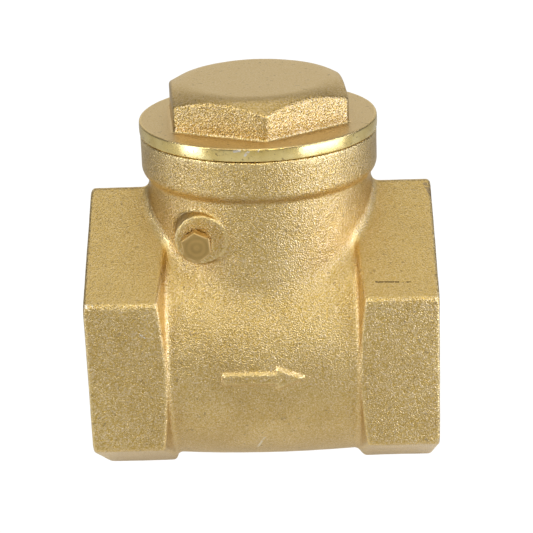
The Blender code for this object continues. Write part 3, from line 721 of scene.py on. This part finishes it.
def brass(name, cast, grain, relief, calm, top_light_tone, rim=None, marks=()):
    """Blasted brass: grainy sides, calmer tops coloured with painted light and shade from above,
    warm painted light in the hollows, and worn edges burnished and lit with painted highlights.

    relief is the depth of the grain in millimetres. calm is the upward slope where the tops begin
    and are complete, then the share of the speckle and of the relief that they lack. The colour
    after calm is that of the tops, and paints in how the light from above falls on them. rim is
    (radius, low, high) of a turned band, and each of marks is (start, end, width, colour), in
    millimetres in the shared frame.
    """
    made, tree = new_material(name)
    coords = add(tree, "ShaderNodeTexCoord")
    where = coords.outputs["Object"]
    facing = add(tree, "ShaderNodeSeparateXYZ", _Vector=coords.outputs["Normal"]).outputs["Z"]
    edge = add(tree, "ShaderNodeAttribute", attribute_name="edge").outputs["Fac"]
    crease = add(tree, "ShaderNodeAttribute", attribute_name="crease").outputs["Fac"]
    patches = ramp(tree, noise(tree, where, 60, 4, 0.6), PATCHES)
    tone = mix(tree, 1.0, cast, patches, "MULTIPLY")
    slope_low, slope_full, less_speckle, less_relief = calm
    level = ramp(tree, facing, [(slope_low, grey(0)), (slope_full, grey(1))])
    # Upward faces take the tops' colour: painted light and shade by facing.
    tone = mix(tree, level, tone, top_light_tone)
    # Creases take a lighter, warmer tint: painted light.
    tone = mix(tree, ramp(tree, crease, [(0.08, grey(0)), (0.7, grey(0.5))]), tone, CREASE_LIGHT)
    cells = add(tree, "ShaderNodeTexVoronoi", _Vector=where, _Scale=grain).outputs["Distance"]
    fine = noise(tree, where, grain, 1, 0.5)
    # Grain colour; its light specks are painted glints.
    speckle = ramp(tree, fine, SPECKLE)
    speckle = mix(tree, math_node(tree, "MULTIPLY", level, less_speckle), speckle, grey(1.0))
    tone = mix(tree, 1.0, tone, speckle, "MULTIPLY")
    chips = ramp(tree, noise(tree, where, 900, 3, 0.6), [(0.35, grey(0.45)), (0.55, grey(1))])
    # Worn edges turn to the burnished colour: wear, and a painted highlight.
    edge_wear_and_highlight = ramp(tree, edge, [(0.12, grey(0)), (0.55, grey(0.9))])
    edge_wear_and_highlight = math_node(tree, "MULTIPLY", edge_wear_and_highlight, chips)
    tone = mix(tree, edge_wear_and_highlight, tone, BURNISHED_HIGHLIGHT)
    specks = ramp(tree, noise(tree, where, 800, 2, 0.6), [(0.66, grey(0)), (0.7, grey(0.55))])
    tone = mix(tree, specks, tone, GRIME)
    height = math_node(tree, "ADD", math_node(tree, "MULTIPLY", cells, 0.35), fine)
    depth = math_node(tree, "SUBTRACT", 1.0, math_node(tree, "MULTIPLY", level, less_relief))
    smooth = math_node(tree, "SUBTRACT", 1.0, math_node(tree, "MULTIPLY", edge_wear_and_highlight, 0.7))
    depth = math_node(tree, "MULTIPLY", depth, smooth)
    polish = math_node(tree, "MULTIPLY", edge_wear_and_highlight, WORN_ROUGH)
    roughness = math_node(tree, "SUBTRACT", BLASTED_ROUGH, polish)
    dullness = math_node(tree, "MULTIPLY", crease, CREASE_ROUGH)
    roughness = math_node(tree, "ADD", roughness, dullness)
    if rim:
        radius, low, high = (value * MM for value in rim)
        split = add(tree, "ShaderNodeSeparateXYZ", _Vector=where)
        across = math_node(tree, "MULTIPLY", split.outputs["X"], split.outputs["X"])
        along = math_node(tree, "MULTIPLY", split.outputs["Y"], split.outputs["Y"])
        upright = math_node(tree, "SQRT", math_node(tree, "ADD", across, along))
        band = math_node(tree, "GREATER_THAN", upright, radius)
        tall = split.outputs["Z"]
        band = math_node(tree, "MULTIPLY", band, math_node(tree, "GREATER_THAN", tall, low))
        band = math_node(tree, "MULTIPLY", band, math_node(tree, "LESS_THAN", tall, high))
        stain = ramp(tree, noise(tree, where, 180, 3, 0.6), STAIN)
        nick = ramp(tree, noise(tree, where, 1300, 2, 0.6), [(0.64, grey(0)), (0.68, grey(0.8))])
        tone = mix(tree, band, tone, mix(tree, nick, stain, GRIME))
        roughness = mix(tree, level, roughness, grey(TOP_ROUGH))
        roughness = mix(tree, band, roughness, grey(RIM_ROUGH))
        uncut = math_node(tree, "SUBTRACT", 1.0, math_node(tree, "MULTIPLY", band, 0.93))
        depth = math_node(tree, "MULTIPLY", depth, uncut)
    breaks = noise(tree, where, 1100, 2, 0.6)
    for start, end, width, colour in marks:
        tone = mix(tree, mark(tree, where, start, end, width, breaks), tone, colour)
    bump = add(tree, "ShaderNodeBump", _Height=height, _Distance=relief * MM, _Strength=depth)
    shader = add(
        tree, "ShaderNodeBsdfPrincipled", _Base_Color=tone, _Metallic=1.0, _Roughness=roughness,
        _Normal=bump.outputs["Normal"],
    )
    add(tree, "ShaderNodeOutputMaterial", _Surface=shader.outputs[0])
    return made


def turned_metal(name, colour, roughness, scale, metallic=1.0, axis=None):
    """Metal or rubber with faint stains, worn edges painted with highlights, and rings round an axis
    along Y if given.
    """
    made, tree = new_material(name)
    where = add(tree, "ShaderNodeTexCoord").outputs["Object"]
    stain = noise(tree, where, 220, 4, 0.6)
    tone = mix(tree, stain, tuple(c * 0.7 for c in colour), tuple(min(c * 1.2, 1) for c in colour))
    if axis is not None:
        away = vector_node(tree, "SUBTRACT", where, (axis.x * MM, 0.0, axis.z * MM))
        radial = vector_node(tree, "LENGTH", vector_node(tree, "MULTIPLY", away, (1.0, 0.0, 1.0)))
        rings = math_node(tree, "SINE", math_node(tree, "MULTIPLY", radial, RING_RATE))
        rings = math_node(tree, "ADD", math_node(tree, "MULTIPLY", rings, 0.07), 0.97)
        tone = mix(tree, 1.0, tone, rings, "MULTIPLY")
    # Worn edges are lightened: wear, and a painted highlight.
    edge = add(tree, "ShaderNodeAttribute", attribute_name="edge").outputs["Fac"]
    edge_wear_and_highlight = ramp(tree, edge, [(0.3, grey(0)), (0.75, grey(0.8))])
    tone = mix(tree, edge_wear_and_highlight, tone, tuple(min(c * 1.6 + 0.15 * metallic, 1) for c in colour))
    marks = noise(tree, where, scale, 2, 0.6)
    bump = add(tree, "ShaderNodeBump", _Height=marks, _Distance=0.00002, _Strength=0.5)
    varied = math_node(tree, "ADD", math_node(tree, "MULTIPLY", stain, 0.2), roughness - 0.1)
    shader = add(
        tree, "ShaderNodeBsdfPrincipled", _Base_Color=tone, _Metallic=metallic, _Roughness=varied,
        _Normal=bump.outputs["Normal"],
    )
    add(tree, "ShaderNodeOutputMaterial", _Surface=shader.outputs[0])
    return made


# Pieces.

def piece(name, shape, body, node, step, material):
    low, high = box_mm(node)
    margin = Vector((0.6, 0.6, 0.6))
    made = surface(name, shape, low - margin, high + margin, step)
    made.data.materials.append(material)
    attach(made, body)
    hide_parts(node)
    return made


def build_pieces():
    # Scratches and scuffs of the photographed valve: start, end, width and colour.
    marks = (
        ((28.6, -29.54, 22.69), (37.3, -29.8, 22.54), 0.42, (0.16, 0.11, 0.05)),
        ((-30.3, -34.4, 12.2), (-29.1, -34.4, 11.3), 0.28, SCUFF),
        ((-43.7, -34.1, 20.2), (-42.0, -34.1, 20.0), 1.2, (0.82, 0.7, 0.48)),
        ((42.6, -1.8, 38.7), (44.0, -4.8, 36.9), 1.2, (0.4, 0.3, 0.17)),
        ((-2.5, -23.5, -24.6), (-0.6, -27.3, -20.2), 0.7, (0.85, 0.75, 0.55)),
    )
    body_calm = (0.6, 0.87, 0.35, 0.4)
    blasted = brass("blasted_brass_look", CAST, 2800, 0.24, body_calm, BODY_TOP_SHADE, marks=marks)
    rim = (CAP_HIGH.x - 0.35, COLLAR_TOP, FLANGE_TOP - 0.25)
    nicks = (
        ((-5.2, -30.05, 57.7), (-2.9, -30.4, 58.0), 0.6, SCUFF),
        ((-2.6, -30.4, 56.7), (-1.7, -30.45, 57.7), 0.6, SCUFF),
        ((0.2, -30.5, 57.2), (0.9, -30.5, 58.0), 0.45, SCUFF),
    )
    top_calm = (0.8, 0.98, 0.65, 0.75)
    bonnet_brass = brass("bonnet_brass_look", DULL, 2400, 0.2, top_calm, DULL_TOP_FINISH_AND_LIGHT, rim, nicks)
    inner = turned_metal("machined_brass_look", (0.72, 0.53, 0.24), 0.32, 1500)
    bronze = turned_metal("plug_look", (0.57, 0.38, 0.13), 0.36, 2500, axis=PIN)
    steel = turned_metal("steel_look", (0.62, 0.62, 0.6), 0.3, 1800)
    rubber = turned_metal("rubber_look", (0.025, 0.025, 0.027), 0.6, 900, 0.0)
    fibre = turned_metal("fibre_look", (0.09, 0.07, 0.05), 0.8, 1200, 0.0)
    coarser = 1.0
    # Name, distance function, body, replaced node, slot, mesh step in millimetres and look.
    for name, shape, body, node, slot, step, material in (
        ("body_casting", casting, "valve_body", "valve_body", "blasted_brass", 0.55, blasted),
        ("bonnet_head", bonnet, "bonnet", "bonnet_cap", "blasted_brass", 0.42, bonnet_brass),
        ("gasket_ring", gasket, "bonnet_seal", "bonnet_gasket", "sealing_fibre", 0.3, fibre),
        ("pin_rod", hinge_pin, "valve_body", "hinge_pin", "stainless_steel", 0.25, steel),
        ("plug_screw", plug, "plug", "pin_plug", "machined_brass", 0.1, bronze),
        ("plug_ring", plug_washer, "plug_washer", "plug_seal", "sealing_fibre", 0.15, fibre),
        ("arm_casting", swing_arm, "flap", "swing_arm", "machined_brass", 0.35, inner),
        ("disc_turned", disc, "disc_set", "disc", "machined_brass", 0.3, inner),
        ("seal_facing", seal, "disc_set", "disc_seal", "nitrile_rubber", 0.35, rubber),
        ("retainer_plate", retainer, "disc_set", "seal_retainer", "stainless_steel", 0.3, steel),
        ("screw_slotted", retainer_screw, "disc_set", "retainer_screw", "stainless_steel", 0.15,
         steel),
        ("washer_ring", disc_washer, "disc_set", "disc_washer", "stainless_steel", 0.2, steel),
        ("nut_hexagon", disc_nut, "disc_set", "disc_nut", "machined_brass", 0.2, inner),
        ("split_pin_bent", split_pin, "disc_set", "split_pin", "stainless_steel", 0.15, steel),
    ):
        piece(name, shape, body, node, step * coarser, material)


# Stage. Softboxes: name, azimuth and elevation in degrees, distance and size in metres, radiance,
# colour. The floor's sizes are in metres too.

ROOM = 0.144
ROOM_COLOUR = (1, 0.92, 1, 1)
BACKDROP = 1.05
FLOOR_GLOW = 0.08
FLOOR_PAINT = (0.5, 0.5, 0.5, 1)
FLOOR_HALF = 4.0
FLOOR_GAP = 0.0002
NEUTRAL = (1.0, 1.0, 1.0)
SUNNY = (1.02, 1.0, 0.87)
COOL = (0.92, 1.0, 1.35)
PALE_BLUE = (0.96, 1.0, 1.12)
SOFTBOXES = (
    ("top_softbox", 0, 90, 1.2, (1.3, 1.3), 0.95, SUNNY),
    ("front_softbox", 8, 40, 1.0, (0.5, 0.42), 3.85, SUNNY),
    ("low_front_softbox", 0, 12, 0.8, (0.5, 0.14), 0.98, (1.1, 1.0, 0.75)),
    ("left_softbox", -62, 26, 0.75, (0.25, 0.5), 4.6, PALE_BLUE),
    ("right_softbox", 72, 26, 0.75, (0.6, 0.5), 2.2, COOL),
    ("left_strip", -62, 2.5, 0.28, (0.085, 0.09), 3.2, COOL),
    ("right_strip", 61, 2.5, 0.28, (0.2, 0.09), 3.8, COOL),
    ("back_panel", 180, 20, 1.6, (2.6, 1.1), 0.75, SUNNY),
)
UNDER_SIZE = (0.16, 0.1)
UNDER_RADIANCE = 0.28

# Camera: azimuth, elevation and roll in degrees, then millimetres.
CAMERA_ANGLES = (1.519, 20.713, -2.104)
CAMERA_TARGET = Vector((0.826, 0, 16.414))
CAMERA_DISTANCE = 493.76
FOCAL_LENGTH = 126.17


def direction(azimuth, elevation):
    """Unit vector towards an azimuth counted from the front, -Y, and an elevation, in radians."""
    level = Vector((math.sin(azimuth), -math.cos(azimuth), 0))
    return level * math.cos(elevation) + Vector((0, 0, math.sin(elevation)))


def build_camera():
    azimuth, elevation, roll = (math.radians(angle) for angle in CAMERA_ANGLES)
    target = CAMERA_TARGET * MM
    distance = CAMERA_DISTANCE * MM
    away = direction(azimuth, elevation)
    right = (-away).cross(Vector((0, 0, 1))).normalized()
    up = right.cross(-away)
    turned_right = right * math.cos(roll) + up * math.sin(roll)
    turned_up = up * math.cos(roll) - right * math.sin(roll)
    lens = bpy.data.cameras.new("camera")
    lens.lens = FOCAL_LENGTH
    lens.sensor_width = 36
    lens.clip_start = 0.01
    camera = bpy.data.objects.new("camera", lens)
    bpy.context.scene.collection.objects.link(camera)
    turn = Matrix((turned_right, turned_up, away)).transposed().to_4x4()
    camera.matrix_world = Matrix.Translation(target + away * distance) @ turn
    bpy.context.scene.camera = camera


def softbox(name, azimuth, elevation, away, size, radiance, colour):
    """A panel that faces the part, at angles in degrees round from the front and up."""
    data = bpy.data.lights.new(name, "AREA")
    data.shape = "RECTANGLE"
    data.size, data.size_y = size
    data.energy = math.pi * size[0] * size[1] * radiance
    data.color = colour
    lamp = bpy.data.objects.new(name, data)
    bpy.context.scene.collection.objects.link(lamp)
    lamp.location = direction(math.radians(azimuth), math.radians(elevation)) * away
    lamp.rotation_euler = (-lamp.location).to_track_quat("-Z", "Y").to_euler()
    lamp.visible_camera = False


def build_stage():
    world = bpy.data.worlds.new("studio")
    bpy.context.scene.world = world
    world.use_nodes = True
    tree = world.node_tree
    tree.nodes.clear()
    room = add(tree, "ShaderNodeBackground", _Color=ROOM_COLOUR, _Strength=ROOM)
    backdrop = add(tree, "ShaderNodeBackground", _Color=(1, 1, 1, 1), _Strength=BACKDROP)
    seen = add(tree, "ShaderNodeLightPath").outputs["Is Camera Ray"]
    background = tree.nodes.new("ShaderNodeMixShader")
    tree.links.new(seen, background.inputs[0])
    tree.links.new(room.outputs[0], background.inputs[1])
    tree.links.new(backdrop.outputs[0], background.inputs[2])
    add(tree, "ShaderNodeOutputWorld", _Surface=background.outputs[0])
    bpy.context.scene.view_settings.view_transform = "Standard"
    for panel in SOFTBOXES:
        softbox(*panel)
    softbox("under_glow", 0, -90, -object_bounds()[0][2], UNDER_SIZE, UNDER_RADIANCE, NEUTRAL)
    mesh = bpy.data.meshes.new("floor")
    signs = ((-1, -1), (1, -1), (1, 1), (-1, 1))
    corners = [(FLOOR_HALF * a, FLOOR_HALF * b, 0) for a, b in signs]
    mesh.from_pydata(corners, [], [(0, 1, 2, 3)])
    floor = bpy.data.objects.new("floor", mesh)
    floor.location.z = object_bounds()[0][2] - FLOOR_GAP
    bpy.context.scene.collection.objects.link(floor)
    paint, tree = new_material("floor_paint")
    shader = add(
        tree, "ShaderNodeBsdfPrincipled", _Base_Color=FLOOR_PAINT, _Roughness=0.9,
        _Emission_Color=(1, 1, 1, 1), _Emission_Strength=FLOOR_GLOW,
    )
    add(tree, "ShaderNodeOutputMaterial", _Surface=shader.outputs[0])
    mesh.materials.append(paint)
    floor.visible_camera = False


build_camera()
build_pieces()
build_stage()
